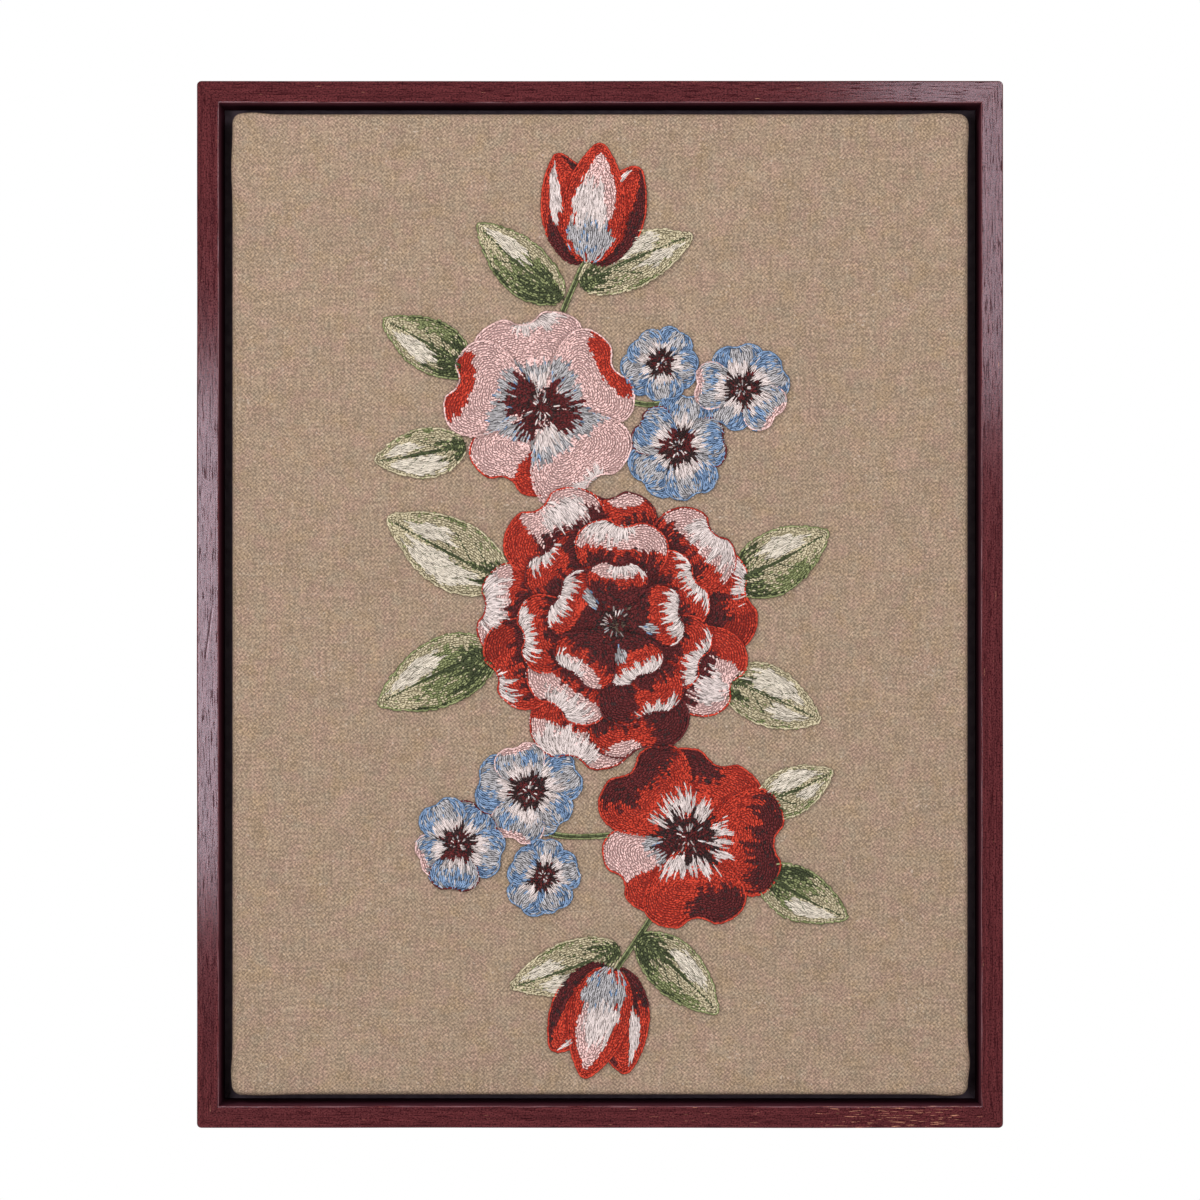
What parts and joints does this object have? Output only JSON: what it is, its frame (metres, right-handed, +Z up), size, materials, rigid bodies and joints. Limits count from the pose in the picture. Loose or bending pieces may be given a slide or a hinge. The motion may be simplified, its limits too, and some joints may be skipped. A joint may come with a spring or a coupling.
{
  "type": "embroidered linen panel in a wood frame",
  "caption": "Upright floral embroidery on natural linen stretched over a board, floated in a thin oxblood wood frame that hangs on a wall.",
  "frame": {"origin": "on the wall plane, at the middle of the top ledge's back face", "axes": "+Z up, +X to the right as the picture is viewed, +Y into the wall, so the picture faces -Y"},
  "size_m": [0.328, 0.032, 0.426],
  "materials": {
    "stained_wood": "oxblood stain, satin, open grain",
    "black_wood": "matt black",
    "board": "plain pale fibreboard",
    "linen": "natural linen, plain weave, slubby",
    "red_thread": "soft embroidery thread",
    "pink_thread": "soft embroidery thread",
    "cream_thread": "soft embroidery thread",
    "maroon_thread": "soft embroidery thread",
    "blue_thread": "soft embroidery thread",
    "green_thread": "soft embroidery thread",
    "pale_green_thread": "soft embroidery thread"
  },
  "bodies": {
    "root": {"rail_top": "stained_wood", "rail_left": "stained_wood", "rail_bottom": "stained_wood", "rail_right": "stained_wood", "ledge_top": "black_wood", "ledge_left": "black_wood", "ledge_bottom": "black_wood", "ledge_right": "black_wood", "board": "board", "linen": "linen", "stem_1": "green_thread", "stem_2": "green_thread", "stem_3": "green_thread", "stem_4": "green_thread", "leaf_1": "pale_green_thread", "leaf_2": "green_thread", "leaf_3": "pale_green_thread", "leaf_4": "green_thread", "leaf_5": "pale_green_thread", "leaf_6": "green_thread", "leaf_7": "pale_green_thread", "leaf_8": "green_thread", "leaf_9": "pale_green_thread", "leaf_10": "green_thread", "leaf_11": "pale_green_thread", "leaf_12": "green_thread", "blue_1_petals": "blue_thread", "blue_1_heart": "maroon_thread", "blue_2_petals": "blue_thread", "blue_2_heart": "maroon_thread", "blue_3_petals": "blue_thread", "blue_3_heart": "maroon_thread", "blue_4_petals": "blue_thread", "blue_4_heart": "maroon_thread", "blue_5_petals": "blue_thread", "blue_5_heart": "maroon_thread", "blue_6_petals": "blue_thread", "blue_6_heart": "maroon_thread", "tulip_top_left": "red_thread", "tulip_top_right": "red_thread", "tulip_top_front": "pink_thread", "tulip_bottom_left": "red_thread", "tulip_bottom_right": "red_thread", "tulip_bottom_front": "pink_thread", "rose_upper_petals": "pink_thread", "rose_upper_heart": "maroon_thread", "rose_lower_petals": "red_thread", "rose_lower_heart": "maroon_thread", "peony_outer": "red_thread", "peony_middle": "pink_thread", "peony_inner": "cream_thread", "peony_heart": "maroon_thread"}
  },
  "joints": []
}
